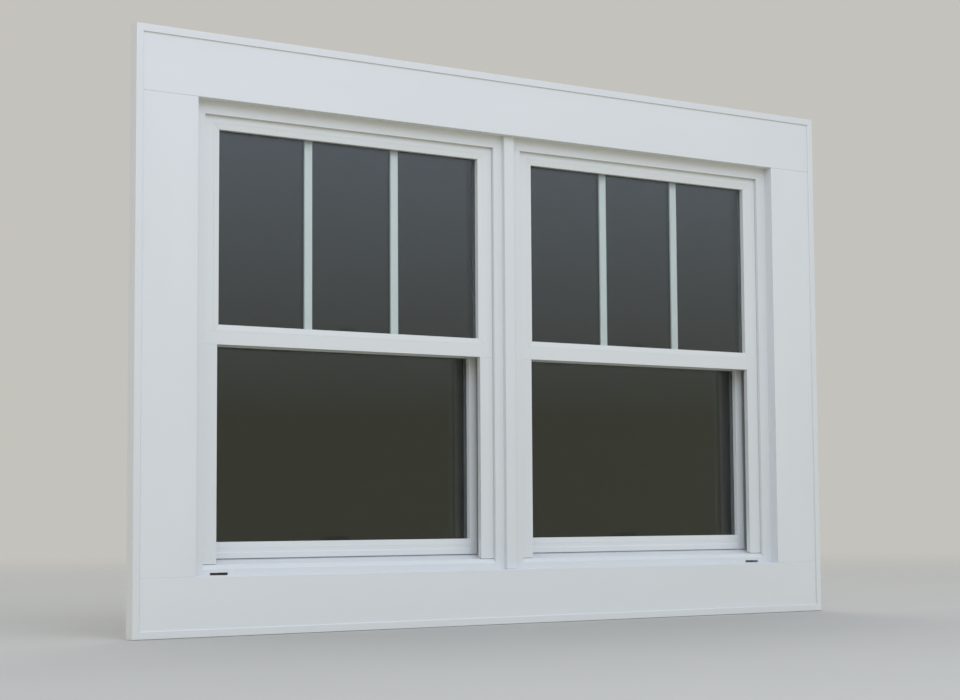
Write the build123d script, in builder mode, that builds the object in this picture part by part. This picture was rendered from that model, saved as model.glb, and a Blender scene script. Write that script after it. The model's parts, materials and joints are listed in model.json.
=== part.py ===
"""Twin single-hung sash window with its flat casing, for a framed wall.

Millimetres. X runs to the right seen from outside, Y into the wall, Z up. The plane Y = 0 is the
face of the wall, on which the casing and the nail fin bear. X = 0 is the middle of the window and
Z = 0 the bottom edge of the casing. Depths named "b" count inwards from the frame's outside face.
"""
from build123d import *
import os

os.makedirs("parts", exist_ok=True)

# Casing: four flat boards, butted, with a band round their outside edge
casing_width = 1752
casing_height = 1168
casing_thickness = 25.4
side_board = 132
head_board = 128
bottom_board = 114
band_face = 15
band_leg = 6
band_proud = 2.5
board_easing = 0.6
band_rounding = 1.2

# Frame: head, sill, two jambs and a mullion, with a nail fin all round
frame_reveal = 26
frame_lap = 8
frame_wall = 2.5
fin_width = 30
fin_thickness = 1.6
fin_clearance = 2
front_leg = 7
track_depth = 12
parting_fin = 2.4
parting_reach = 10
mullion_width = 70
nail_slot_length = 26
nail_slot_width = 4
nail_slot_pitch = 250
nail_slot_line = 16.5
head_chambers = 3

# Mullion cover and track covers
mullion_cover_width = 26
mullion_cover_proud = 10
mullion_cover_end_gap = 0.6
mullion_cover_rounding = 2
cover_tongue_width = 12
cover_tongue_depth = 3.5
tongue_clearance = 0.2
track_cover_reach = 32
track_cover_wall = 2.5
track_cover_return = 8.5
track_cover_end_gap = 1.5

# Sill: front nose, steep fall, shallow fall, shelf under the sash and inner dam
nose_height = 21
steep_run = 8.5
steep_rise = 8.5
shallow_rise = 8
shelf_height = 38.5
shelf_setback = 1
dam_height = 15
dam_thickness = 5
dam_gap = 1
weep_length = 38
weep_height = 5
weep_drop = 9
weep_inset = 34

# Sashes
sash_thickness = 33
upper_set = 8
track_gap = 4
stile_sight = 35
sash_side_gap = 1
top_rail_sight = 27
upper_top_gap = 1
meeting_rail = 39
meeting_rail_bottom = 562.5
check_rail = 38
check_rail_bottom = 562
bottom_rail = 32.5
lower_sash_gap = 1.5
drip_height = 14.5
drip_proud = 1.6
drip_undercut = 0.5
interlock_wall = 0.9
interlock_drop = 10
interlock_gap = 0.6
interlock_rise = 9.75

# Glazing: two panes with a spacer and flat bars between, held by mitred beads outside
glass_set = 12
glass_thickness = 3
glass_gap = 10
glass_bite = 9
rebate_width = 12
bead_slope = 1.2
bead_joint = 0.2
spacer_width = 6
spacer_edge = 2
bar_width = 18
bar_thickness = 5.5
bar_rounding = 1.2
bar_shift = 4.5
lites = 3

# Lock, lift handle and tilt latches
lock_length = 64
lock_width = 20
lock_plate = 2.5
lock_post = 8
lock_hub = 16
lock_bore_clearance = 0.4
lock_setback = 16
tongue_reach = 23.5
tongue_width = 9
tongue_thickness = 4
tongue_lift = 3.5
lever_reach = 34
lever_thickness = 4
lever_width = 10
lever_tip = 7
tongue_rounding = 2
lever_rounding = 2.5
lock_easing = 0.6
screw_head = 7
screw_sink = 1
rivet_rim = 2
rivet_head = 1.4
running_gap = 0.3
keeper_width = 40
keeper_mouth = 28
keeper_roof = 3.8
keeper_depth = 4.8
keeper_base = 1.4
keeper_gap = 0.5
keeper_rounding = 2.5
handle_width = 60
handle_height = 26
handle_reach = 20
handle_wall = 3.5
handle_rise = 14.5
handle_rounding = 4
latch_width = 8
latch_height = 9
latch_length = 52
latch_throw = 5.8
latch_travel = 7
latch_button = 12
latch_button_width = 5
latch_button_rise = 2.5
latch_button_rounding = 1.2
latch_nose = 3
housing_wall = 2

# Balances: a spiral rod on the sash's shoe, rising into a tube in the jamb pocket
pocket_depth = 17
pocket_width = 26
pocket_set = 5
slot_width = 10
sash_travel = 355
tube_diameter = 14
tube_bore = 7
tube_bottom = 560
tube_tab = 15
tube_tab_width = 9
tube_headroom = 28
rod_diameter = 5
rod_overlap = 28
shoe_height = 38
shoe_rise = 6
shoe_clearance = 0.3
pivot_bar_length = 52
pivot_bar_width = 8
pivot_bar_height = 5
pivot_bar_rise = 9
seal_width = 10
seal_set = 7
seal_gap = 0.3

# Worked out from the sizes above
open_x = casing_width / 2 - side_board
open_top = casing_height - head_board
open_bottom = bottom_board
sash_open_x = open_x - frame_reveal
sash_open_top = open_top - frame_reveal
frame_x = open_x + frame_lap
frame_top = open_top + frame_lap
frame_bottom = open_bottom - frame_lap
face_y = -fin_thickness
ceiling = sash_open_top + track_depth
shelf_z = frame_bottom + shelf_height
nose_z = frame_bottom + nose_height
steep_z = nose_z + steep_rise
parting_start = upper_set + sash_thickness + (track_gap - parting_fin) / 2
lower_set = upper_set + sash_thickness + track_gap
lower_back = lower_set + sash_thickness
shelf_start = lower_set + shelf_setback
dam_start = lower_back + dam_gap
frame_depth = dam_start + dam_thickness
mullion_half = mullion_width / 2
unit_width = sash_open_x - mullion_half
unit_x = (sash_open_x + mullion_half) / 2
sash_width = unit_width + 2 * (track_depth - sash_side_gap)
sight_width = unit_width - 2 * stile_sight
upper_top = ceiling - upper_top_gap
upper_sight_top = sash_open_top - top_rail_sight
upper_sight_bottom = meeting_rail_bottom + meeting_rail
lower_bottom = shelf_z + lower_sash_gap
lower_sight_bottom = lower_bottom + bottom_rail
lower_top = check_rail_bottom + check_rail
igu = 2 * glass_thickness + glass_gap
lock_b = lower_set + lock_setback
pocket_start = lower_set + pocket_set
slot_b = pocket_start + pocket_width / 2
tube_x = track_depth + frame_wall + pocket_depth - tube_diameter / 2


def depth(b):
    """Y of a depth b measured inwards from the frame's outside face."""
    return face_y + b


def facing(b):
    """A plane at depth b that looks outwards, drawn in X and Z."""
    return Plane.XZ.offset(-depth(b))


def block(x0, x1, y0, y1, mode=Mode.ADD):
    """A rectangle between two pairs of limits, in the sketch being drawn."""
    with Locations(((x0 + x1) / 2, (y0 + y1) / 2)):
        Rectangle(abs(x1 - x0), abs(y1 - y0), mode=mode)


def outline(*points, mode=Mode.ADD):
    """A closed straight-sided figure, in the sketch being drawn."""
    with BuildLine() as line:
        Polyline(*points, close=True)
    make_face(line.edges(), mode=mode)


def save(piece, name):
    """Labels a finished piece and writes it."""
    piece.part.label = name
    export_step(piece.part, f"parts/{name}.step")


# Casing boards, with a rebate behind that houses the nail fin
fin_reach = fin_width + fin_clearance
board_x = casing_width / 2 - band_leg
board_top = casing_height - band_leg
board_outlines = {
    "head_casing": (-board_x, board_x, open_top, board_top),
    "bottom_casing": (-board_x, board_x, band_leg, open_bottom),
    "left_casing": (-board_x, -open_x, open_bottom, open_top),
    "right_casing": (open_x, board_x, open_bottom, open_top),
}
for name, (x0, x1, z0, z1) in board_outlines.items():
    with BuildPart() as board:
        with BuildSketch(Plane.XZ):
            block(x0, x1, z0, z1)
        extrude(amount=casing_thickness)
        chamfer(board.faces().sort_by(Axis.Y)[0].edges(), board_easing)
        with BuildSketch(Plane.XZ):
            block(
                -frame_x - fin_reach,
                frame_x + fin_reach,
                frame_bottom - fin_reach,
                frame_top + fin_reach,
            )
        extrude(amount=fin_thickness, mode=Mode.SUBTRACT)
    save(board, name)

# Back band: four mitred strips of L section, on the boards' outside edge
half = casing_width / 2
band_sides = {
    "head_back_band": ((-half, casing_height), (half, casing_height), (1, -1), Axis.X),
    "bottom_back_band": ((-half, 0), (half, 0), (1, 1), Axis.X),
    "left_back_band": ((-half, 0), (-half, casing_height), (1, 1), Axis.Z),
    "right_back_band": ((half, 0), (half, casing_height), (-1, 1), Axis.Z),
}


def mitred(start, end, inward, width, along):
    """The outline of one mitred side, width deep, between two outer corners."""
    dx, dz = inward
    if along == Axis.X:
        inner = ((end[0] - width, end[1] + dz * width), (start[0] + width, start[1] + dz * width))
    else:
        inner = ((end[0] + dx * width, end[1] - width), (start[0] + dx * width, start[1] + width))
    outline(start, end, *inner)


for name, (start, end, inward, along) in band_sides.items():
    with BuildPart() as band:
        with BuildSketch(Plane.XZ.offset(casing_thickness)):
            mitred(start, end, inward, band_face, along)
        extrude(amount=band_proud)
        with BuildSketch(Plane.XZ):
            mitred(start, end, inward, band_leg, along)
        extrude(amount=casing_thickness)
        front = band.faces().sort_by(Axis.Y)[0]
        fillet(front.edges().filter_by(along), band_rounding)
    save(band, name)


# Frame head, sill and the shapes that the upright members are coped to
def head_section():
    """The head's outside shape, in depth and height."""
    block(depth(0), depth(frame_depth), ceiling, frame_top)
    block(depth(0), depth(front_leg), sash_open_top, ceiling)
    block(depth(parting_start), depth(parting_start + parting_fin), sash_open_top - parting_reach, ceiling)


def sill_section(raise_by=0, mode=Mode.ADD):
    """The sill's outside shape, in depth and height, raised on request for an end gap."""
    outline(
        (depth(0), frame_bottom),
        (depth(0), nose_z + raise_by),
        (depth(steep_run), steep_z + raise_by),
        (depth(shelf_start), steep_z + shallow_rise + raise_by),
        (depth(shelf_start), shelf_z + raise_by),
        (depth(dam_start), shelf_z + raise_by),
        (depth(dam_start), shelf_z + dam_height + raise_by),
        (depth(frame_depth), shelf_z + dam_height + raise_by),
        (depth(frame_depth), frame_bottom),
        mode=mode,
    )


nail_slots_x = int(2 * frame_x / nail_slot_pitch)
nail_slots_z = int((frame_top - frame_bottom) / nail_slot_pitch)

with BuildPart() as frame_head:
    with BuildSketch(Plane.YZ):
        head_section()
        chamber = (frame_depth - frame_wall) / head_chambers - frame_wall
        for i in range(head_chambers):
            b = frame_wall + i * (chamber + frame_wall)
            block(
                depth(b),
                depth(b + chamber),
                ceiling + frame_wall,
                frame_top - frame_wall,
                mode=Mode.SUBTRACT,
            )
    extrude(amount=frame_x, both=True)
    with BuildSketch(facing(0)):
        block(-frame_x - fin_width, frame_x + fin_width, frame_top, frame_top + fin_width)
        with Locations((0, frame_top + nail_slot_line)):
            with GridLocations(nail_slot_pitch, 1, nail_slots_x, 1):
                SlotOverall(nail_slot_length, nail_slot_width, mode=Mode.SUBTRACT)
    extrude(amount=-fin_thickness)
save(frame_head, "frame_head")

with BuildPart() as frame_sill:
    with BuildSketch(Plane.YZ):
        sill_section()
        web = parting_start
        outline(
            (depth(frame_wall), frame_bottom + frame_wall),
            (depth(frame_wall), nose_z - frame_wall / 2),
            (depth(steep_run + 1), steep_z - frame_wall),
            (depth(web - frame_wall), steep_z + frame_wall / 2),
            (depth(web - frame_wall), frame_bottom + frame_wall),
            mode=Mode.SUBTRACT,
        )
        block(
            depth(web),
            depth(frame_depth - frame_wall),
            frame_bottom + frame_wall,
            steep_z + frame_wall,
            mode=Mode.SUBTRACT,
        )
    extrude(amount=frame_x, both=True)
    with BuildSketch(facing(0)):
        block(-frame_x - fin_width, frame_x + fin_width, frame_bottom - fin_width, frame_bottom)
        with Locations((0, frame_bottom - nail_slot_line)):
            with GridLocations(nail_slot_pitch, 1, nail_slots_x, 1):
                SlotOverall(nail_slot_length, nail_slot_width, mode=Mode.SUBTRACT)
    extrude(amount=-fin_thickness)
    with BuildSketch(facing(0)):
        with Locations(*[(s * (sash_open_x - weep_inset), nose_z - weep_drop) for s in (-1, 1)]):
            Rectangle(weep_length, weep_height)
    extrude(amount=-frame_wall, mode=Mode.SUBTRACT)
save(frame_sill, "frame_sill")


def cope_to_head_and_sill():
    """Cuts the ends of an upright member to the head's and the sill's shapes."""
    with BuildSketch(Plane.YZ) as ends:
        head_section()
        sill_section()
    extrude(ends.sketch, amount=casing_width / 2, both=True, mode=Mode.SUBTRACT)


def track_side(edge, out):
    """Front leg, parting fin and wall with the balance slot, on one side of a unit.

    edge is the X of the sash opening's edge and out the direction away from the opening.
    """
    floor = edge + out * track_depth
    back = floor + out * (frame_wall + pocket_depth)
    block(edge, floor, depth(0), depth(front_leg))
    block(edge - out * parting_reach, floor, depth(parting_start), depth(parting_start + parting_fin))
    block(
        floor + out * frame_wall,
        back,
        depth(pocket_start),
        depth(pocket_start + pocket_width),
        Mode.SUBTRACT,
    )
    block(
        floor,
        floor + out * frame_wall,
        depth(slot_b - slot_width / 2),
        depth(slot_b + slot_width / 2),
        Mode.SUBTRACT,
    )
    block(
        floor + out * frame_wall,
        back,
        depth(frame_wall),
        depth(pocket_start - 2 * frame_wall),
        Mode.SUBTRACT,
    )


for name, out in (("left_frame_jamb", -1), ("right_frame_jamb", 1)):
    edge = out * sash_open_x
    with BuildPart() as jamb:
        with BuildSketch(Plane.XY.offset(frame_bottom)):
            block(edge + out * track_depth, out * frame_x, depth(0), depth(frame_depth))
            track_side(edge, out)
        extrude(amount=frame_top - frame_bottom)
        cope_to_head_and_sill()
        with BuildSketch(facing(0)):
            block(out * frame_x, out * (frame_x + fin_width), frame_bottom, frame_top)
            with Locations((out * (frame_x + nail_slot_line), (frame_bottom + frame_top) / 2)):
                with GridLocations(1, nail_slot_pitch, 1, nail_slots_z):
                    SlotOverall(nail_slot_length, nail_slot_width, rotation=90, mode=Mode.SUBTRACT)
        extrude(amount=-fin_thickness)
    save(jamb, name)

with BuildPart() as mullion_post:
    core = mullion_half - track_depth
    with BuildSketch(Plane.XY.offset(frame_bottom)):
        block(-core, core, depth(0), depth(frame_depth))
        for side in (-1, 1):
            track_side(side * mullion_half, -side)
        groove = cover_tongue_width / 2 + tongue_clearance
        block(-groove, groove, depth(0), depth(cover_tongue_depth + tongue_clearance), Mode.SUBTRACT)
    extrude(amount=frame_top - frame_bottom)
    cope_to_head_and_sill()
save(mullion_post, "mullion_post")

with BuildPart() as mullion_cover:
    cover_bottom = open_bottom + mullion_cover_end_gap
    with BuildSketch(facing(0)):
        block(-mullion_cover_width / 2, mullion_cover_width / 2, cover_bottom, open_top)
    extrude(amount=mullion_cover_proud)
    front = mullion_cover.faces().sort_by(Axis.Y)[0]
    fillet(front.edges().filter_by(Axis.Z), mullion_cover_rounding)
    with BuildSketch(facing(0)):
        tongue_half = cover_tongue_width / 2
        block(-tongue_half, tongue_half, nose_z + track_depth, sash_open_top - track_depth)
    extrude(amount=-cover_tongue_depth)
save(mullion_cover, "mullion_cover")

# Track covers: they fill the outer track below the upper sashes and hold those up
track_edges = {
    "left_unit_left_track_cover": (-sash_open_x, -1),
    "left_unit_right_track_cover": (-mullion_half, 1),
    "right_unit_left_track_cover": (mullion_half, -1),
    "right_unit_right_track_cover": (sash_open_x, 1),
}
for name, (edge, out) in track_edges.items():
    inner = edge - out * track_cover_reach
    outer = edge + out * (track_depth - sash_side_gap)
    rib = edge - out * (parting_reach - track_cover_wall)
    with BuildPart() as cover:
        with BuildSketch(Plane.XY.offset(frame_bottom)):
            block(inner, outer, depth(upper_set), depth(upper_set + track_cover_wall))
            block(
                inner,
                inner + out * track_cover_wall,
                depth(upper_set),
                depth(upper_set + track_cover_wall + track_cover_return),
            )
            block(rib, rib + out * track_cover_wall, depth(upper_set), depth(parting_start))
            block(outer, outer - out * track_cover_wall, depth(upper_set), depth(parting_start))
        extrude(amount=meeting_rail_bottom - frame_bottom)
        with BuildSketch(Plane.YZ):
            sill_section(raise_by=track_cover_end_gap)
        extrude(amount=casing_width / 2, both=True, mode=Mode.SUBTRACT)
    save(cover, name)


# Glazing
def make_glazing(prefix, middle, z0, z1, set_back, with_bars):
    """Beads, panes, spacer and bars of one sash, whose sight opening runs from z0 to z1."""
    x0, x1 = middle - sight_width / 2, middle + sight_width / 2
    centre = (middle, (z0 + z1) / 2)
    bead_size = (sight_width + 2 * rebate_width, z1 - z0 + 2 * rebate_width)
    with BuildPart() as beads:
        with BuildSketch(facing(set_back)):
            with Locations(centre):
                Rectangle(*bead_size)
                Rectangle(sight_width, z1 - z0, mode=Mode.SUBTRACT)
        extrude(amount=-glass_set)
        with BuildSketch(facing(set_back)):
            with Locations(centre):
                Rectangle(*bead_size)
        with BuildSketch(facing(set_back + bead_slope)):
            with Locations(centre):
                Rectangle(sight_width, z1 - z0)
        loft(mode=Mode.SUBTRACT)
        mitre = rebate_width / 2
        for x, z, turn in (
            (x0 - mitre, z0 - mitre, 45),
            (x1 + mitre, z1 + mitre, 45),
            (x0 - mitre, z1 + mitre, -45),
            (x1 + mitre, z0 - mitre, -45),
        ):
            with Locations(Location((x, depth(set_back + glass_set / 2), z), (0, turn, 0))):
                Box(bead_joint, glass_set * 2, rebate_width * 2, mode=Mode.SUBTRACT)
    save(beads, f"{prefix}_beads")

    pane_size = (sight_width + 2 * glass_bite, z1 - z0 + 2 * glass_bite)
    outer_b = set_back + glass_set
    with BuildPart() as panes:
        for b in (outer_b, outer_b + glass_thickness + glass_gap):
            with BuildSketch(facing(b)):
                with Locations(centre):
                    Rectangle(*pane_size)
            extrude(amount=-glass_thickness)
    save(panes, f"{prefix}_panes")

    gap_b = outer_b + glass_thickness
    inset = 2 * spacer_edge
    with BuildPart() as spacer:
        with BuildSketch(facing(gap_b)):
            with Locations(centre):
                Rectangle(pane_size[0] - inset, pane_size[1] - inset)
                Rectangle(
                    pane_size[0] - inset - 2 * spacer_width,
                    pane_size[1] - inset - 2 * spacer_width,
                    mode=Mode.SUBTRACT,
                )
        extrude(amount=-glass_gap)
    save(spacer, f"{prefix}_spacer")

    if not with_bars:
        return
    bar_half = (pane_size[1] - inset) / 2 - spacer_width
    with BuildPart() as bars:
        with BuildSketch(facing(gap_b + (glass_gap - bar_thickness) / 2)):
            with Locations((middle + bar_shift, centre[1])):
                with GridLocations(sight_width / lites, 1, lites - 1, 1):
                    Rectangle(bar_width, 2 * bar_half)
        extrude(amount=-bar_thickness)
        fillet(bars.edges().filter_by(Axis.Z), bar_rounding)
    save(bars, f"{prefix}_bars")


def make_sash_ring(middle, bottom, top, sight_bottom, sight_top, set_back):
    """The welded sash with its glazing rebate, inside the builder in use."""
    centre_z = (sight_bottom + sight_top) / 2
    with BuildSketch(facing(set_back)) as body:
        block(middle - sash_width / 2, middle + sash_width / 2, bottom, top)
    extrude(body.sketch, amount=-sash_thickness)
    with BuildSketch(facing(set_back)) as rebate:
        with Locations((middle, centre_z)):
            Rectangle(sight_width + 2 * rebate_width, sight_top - sight_bottom + 2 * rebate_width)
    extrude(rebate.sketch, amount=-(glass_set + igu), mode=Mode.SUBTRACT)
    with BuildSketch(facing(set_back)) as daylight:
        with Locations((middle, centre_z)):
            Rectangle(sight_width, sight_top - sight_bottom)
    extrude(daylight.sketch, amount=-sash_thickness, mode=Mode.SUBTRACT)


def make_upper_sash(unit, middle):
    """The fixed upper sash with the outer half of the interlock and the lock keeper."""
    back = upper_set + sash_thickness
    with BuildPart() as sash:
        make_sash_ring(
            middle, meeting_rail_bottom, upper_top, upper_sight_bottom, upper_sight_top, upper_set
        )
        hook = meeting_rail_bottom + interlock_rise
        with BuildSketch(Plane.YZ.offset(middle)):
            block(depth(back), depth(back + 3 * interlock_wall), hook, hook + interlock_wall)
            block(
                depth(back + 2 * interlock_wall),
                depth(back + 3 * interlock_wall),
                hook,
                hook + interlock_drop,
            )
        extrude(amount=sight_width / 2, both=True)
    save(sash, f"{unit}_upper_sash")

    keeper_start = upper_set + glass_set + igu + keeper_gap
    top = upper_sight_bottom
    roof = lower_top + tongue_lift + tongue_thickness + 2 * running_gap
    with BuildPart() as keeper:
        with BuildSketch(facing(keeper_start)):
            block(middle - keeper_width / 2, middle + keeper_width / 2, top, roof + keeper_roof)
            block(
                middle - keeper_mouth / 2,
                middle + keeper_mouth / 2,
                top + keeper_base,
                roof,
                mode=Mode.SUBTRACT,
            )
        extrude(amount=-keeper_depth)
        fillet(keeper.edges().filter_by(Axis.Y).group_by(Axis.Z)[-1], keeper_rounding)
    save(keeper, f"{unit}_lock_keeper")


def make_lower_sash(unit, middle):
    """The sliding lower sash with its drip, interlock, latch pockets and bar pockets."""
    edge = sash_width / 2
    rail_back = depth(lower_set)
    with BuildPart() as sash:
        make_sash_ring(
            middle, lower_bottom, lower_top, lower_sight_bottom, check_rail_bottom, lower_set
        )
        with BuildSketch(Plane.YZ.offset(middle)):
            outline(
                (rail_back, lower_bottom),
                (rail_back - drip_proud, lower_bottom + drip_undercut),
                (rail_back - drip_proud, lower_bottom + drip_height - 2 * drip_proud),
                (rail_back, lower_bottom + drip_height),
            )
            hook = meeting_rail_bottom + interlock_rise + interlock_drop + 2 * interlock_wall
            reach = track_gap - interlock_gap
            block(rail_back - reach, rail_back, hook, hook + interlock_wall)
            block(
                rail_back - reach,
                rail_back - reach + interlock_wall,
                hook - interlock_drop,
                hook,
            )
        extrude(amount=sight_width / 2, both=True)
        for side in (-1, 1):
            x_edge = middle + side * edge
            x_end = x_edge - side * (latch_length + latch_travel + housing_wall)
            with BuildSketch(facing(slot_b)):
                block(x_edge, x_end, lower_top - latch_height - 2 * housing_wall, lower_top)
            extrude(amount=latch_width / 2 + housing_wall, both=True, mode=Mode.SUBTRACT)
            x_bar = x_edge - side * (pivot_bar_length - track_depth)
            with BuildSketch(facing(slot_b)):
                block(
                    x_edge,
                    x_bar,
                    lower_bottom + pivot_bar_rise,
                    lower_bottom + pivot_bar_rise + pivot_bar_height,
                )
            extrude(amount=pivot_bar_width / 2, both=True, mode=Mode.SUBTRACT)
    save(sash, f"{unit}_lower_sash")


def make_lock(unit, middle):
    """Sweep lock: a plate with a riveted post, and a lever with a tongue that turns on the post."""
    lever_z = lower_top + tongue_lift
    lever_top = lever_z + tongue_thickness + lever_thickness
    with BuildPart() as base:
        with BuildSketch(Plane.XY.offset(lower_top)):
            with Locations((middle, depth(lock_b))):
                SlotOverall(lock_length, lock_width)
        extrude(amount=lock_plate)
        chamfer(base.faces().sort_by(Axis.Z)[-1].edges(), lock_easing)
        with BuildSketch(Plane.XY.offset(lower_top)):
            with Locations((middle, depth(lock_b))):
                Circle(lock_post / 2)
        extrude(amount=lever_top + running_gap - lower_top)
        with BuildSketch(Plane.XY.offset(lever_top + running_gap)):
            with Locations((middle, depth(lock_b))):
                Circle(lock_post / 2 + rivet_rim)
        extrude(amount=rivet_head)
        with BuildSketch(Plane.XY.offset(lower_top + lock_plate)):
            with Locations((middle, depth(lock_b))):
                with GridLocations(lock_length - lock_width, 1, 2, 1):
                    Circle(screw_head / 2)
        extrude(amount=-screw_sink, mode=Mode.SUBTRACT)
    save(base, f"{unit}_lock_base")

    with BuildPart() as lever:
        with BuildSketch(Plane.XY.offset(lever_z)):
            with Locations((middle, depth(lock_b))):
                Circle(lock_hub / 2)
            x_tip = middle - tongue_reach
            block(x_tip, middle, depth(lock_b) - tongue_width / 2, depth(lock_b) + tongue_width / 2)
        extrude(amount=tongue_thickness)
        fillet(lever.edges().filter_by(Axis.Z).sort_by(Axis.X)[:2], tongue_rounding)
        with BuildSketch(Plane.XY.offset(lever_z + tongue_thickness)):
            with Locations((middle, depth(lock_b))):
                Circle(lock_hub / 2)
            outline(
                (middle, depth(lock_b) - lever_width / 2),
                (middle + lever_reach, depth(lock_b) - lever_tip / 2),
                (middle + lever_reach, depth(lock_b) + lever_tip / 2),
                (middle, depth(lock_b) + lever_width / 2),
            )
        extrude(amount=lever_thickness)
        fillet(lever.edges().filter_by(Axis.Z).sort_by(Axis.X)[-2:], lever_rounding)
        with BuildSketch(Plane.XY.offset(lever_z)):
            with Locations((middle, depth(lock_b))):
                Circle((lock_post + lock_bore_clearance) / 2)
        extrude(amount=tongue_thickness + lever_thickness, mode=Mode.SUBTRACT)
        top = lever.faces().sort_by(Axis.Z)[-1]
        chamfer(top.outer_wire().edges(), lock_easing)
    save(lever, f"{unit}_lock_lever")


def make_handle(unit, middle):
    """Lift handle on the room side of the bottom rail: a plate with a finger hook."""
    z0 = lower_bottom + handle_rise
    z1 = z0 + handle_height
    plate = depth(lower_back)
    with BuildPart() as handle:
        with BuildSketch(Plane.YZ.offset(middle)):
            outline(
                (plate, z0),
                (plate + handle_wall, z0),
                (plate + handle_wall, z1 - 2.5 * handle_wall),
                (plate + 2 * handle_wall, z1 - handle_wall),
                (plate + handle_reach - handle_wall, z1 - handle_wall),
                (plate + handle_reach - handle_wall, z1 - 2.5 * handle_wall),
                (plate + handle_reach, z1 - 2.5 * handle_wall),
                (plate + handle_reach, z1 - handle_wall),
                (plate + handle_reach - handle_wall, z1),
                (plate, z1),
            )
        extrude(amount=handle_width / 2, both=True)
        fillet(handle.edges().filter_by(Axis.Y).group_by(Axis.Z)[0], handle_rounding)
    save(handle, f"{unit}_lift_handle")


def make_latches(unit, middle):
    """Tilt latches: two spring bolts in housings let into the ends of the check rail."""
    edge = sash_width / 2
    pocket = latch_length + latch_travel + housing_wall
    floor = lower_top - latch_height - 2 * housing_wall
    bolt_bottom = floor + housing_wall
    bolt_top = bolt_bottom + latch_height
    half_width = latch_width / 2
    with BuildPart() as housings:
        for side in (-1, 1):
            x_edge = middle + side * edge
            with BuildSketch(facing(slot_b)):
                block(x_edge, x_edge - side * pocket, floor, lower_top)
            extrude(amount=half_width + housing_wall, both=True)
        for side in (-1, 1):
            x_edge = middle + side * edge
            with BuildSketch(facing(slot_b)):
                block(
                    x_edge,
                    x_edge - side * (pocket - housing_wall),
                    bolt_bottom - running_gap,
                    bolt_top + running_gap,
                )
            extrude(amount=half_width + running_gap, both=True, mode=Mode.SUBTRACT)
            x_button = x_edge - side * latch_length / 2
            slot_half = latch_button_width / 2 + running_gap
            with BuildSketch(Plane.XY.offset(lower_top)):
                block(
                    x_button + side * (latch_button / 2 + running_gap),
                    x_button - side * (latch_button / 2 + latch_travel + running_gap),
                    depth(slot_b) - slot_half,
                    depth(slot_b) + slot_half,
                )
            extrude(amount=-2 * housing_wall, mode=Mode.SUBTRACT)
    save(housings, f"{unit}_latch_housings")

    for side, which in ((-1, "left"), (1, "right")):
        x_edge = middle + side * edge
        with BuildPart() as bolt:
            with BuildSketch(facing(slot_b)):
                block(
                    x_edge + side * latch_throw,
                    x_edge - side * (latch_length - housing_wall),
                    bolt_bottom,
                    bolt_top,
                )
            extrude(amount=half_width, both=True)
            nose = bolt.faces().sort_by(Axis.X)[-1 if side > 0 else 0]
            chamfer(nose.edges().filter_by(Axis.Z).sort_by(Axis.Y)[-1:], latch_nose)
            with BuildSketch(Plane.XY.offset(bolt_top)):
                with Locations((x_edge - side * latch_length / 2, depth(slot_b))):
                    Rectangle(latch_button, latch_button_width)
            extrude(amount=housing_wall + latch_button_rise)
            fillet(bolt.faces().sort_by(Axis.Z)[-1].edges().filter_by(Axis.Y), latch_button_rounding)
        save(bolt, f"{unit}_sash_{which}_latch")


def make_balances(unit, middle):
    """Rods, shoes and pivot bars that travel with the lower sash."""
    edge = sash_width / 2
    bar_z = lower_bottom + pivot_bar_rise
    shoe_z = bar_z - shoe_rise
    shoe_top = shoe_z + shoe_height
    in_pocket = track_depth + frame_wall
    with BuildPart() as bars:
        for side in (-1, 1):
            x_edge = middle + side * edge
            with BuildSketch(facing(slot_b)):
                block(
                    x_edge - side * (pivot_bar_length - track_depth),
                    x_edge + side * track_depth,
                    bar_z,
                    bar_z + pivot_bar_height,
                )
            extrude(amount=pivot_bar_width / 2, both=True)
    save(bars, f"{unit}_pivot_bars")

    with BuildPart() as shoes:
        for side in (-1, 1):
            opening = middle + side * unit_width / 2
            x_edge = middle + side * edge
            with BuildSketch(facing(slot_b)):
                block(
                    opening + side * (in_pocket + shoe_clearance),
                    opening + side * (in_pocket + pocket_depth - shoe_clearance),
                    shoe_z,
                    shoe_top,
                )
            extrude(amount=pocket_width / 2 - shoe_clearance, both=True)
            with BuildSketch(facing(slot_b)):
                block(opening, x_edge + side * track_depth, bar_z, bar_z + pivot_bar_height)
            extrude(amount=pivot_bar_width / 2, both=True, mode=Mode.SUBTRACT)
    save(shoes, f"{unit}_balance_shoes")

    with BuildPart() as rods:
        with BuildSketch(Plane.XY.offset(shoe_top)):
            for side in (-1, 1):
                with Locations((middle + side * (unit_width / 2 + tube_x), depth(slot_b))):
                    Circle(rod_diameter / 2)
        extrude(amount=tube_bottom + rod_overlap - shoe_top)
    save(rods, f"{unit}_balance_rods")


def make_seal(unit, middle):
    """Bulb seal under the bottom rail."""
    bulb = lower_sash_gap - seal_gap
    with BuildPart() as seal:
        with BuildSketch(Plane.YZ.offset(middle)):
            with Locations((depth(lower_set + seal_set), lower_bottom - bulb / 2)):
                SlotOverall(seal_width, bulb)
        extrude(amount=sash_width / 2 - track_depth, both=True)
    save(seal, f"{unit}_bottom_seal")


# The two units
for unit, middle in (("left", -unit_x), ("right", unit_x)):
    make_upper_sash(unit, middle)
    make_glazing(f"{unit}_upper", middle, upper_sight_bottom, upper_sight_top, upper_set, True)
    make_lower_sash(unit, middle)
    make_glazing(f"{unit}_lower", middle, lower_sight_bottom, check_rail_bottom, lower_set, False)
    make_lock(unit, middle)
    make_handle(unit, middle)
    make_latches(unit, middle)
    make_balances(unit, middle)
    make_seal(unit, middle)

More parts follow.
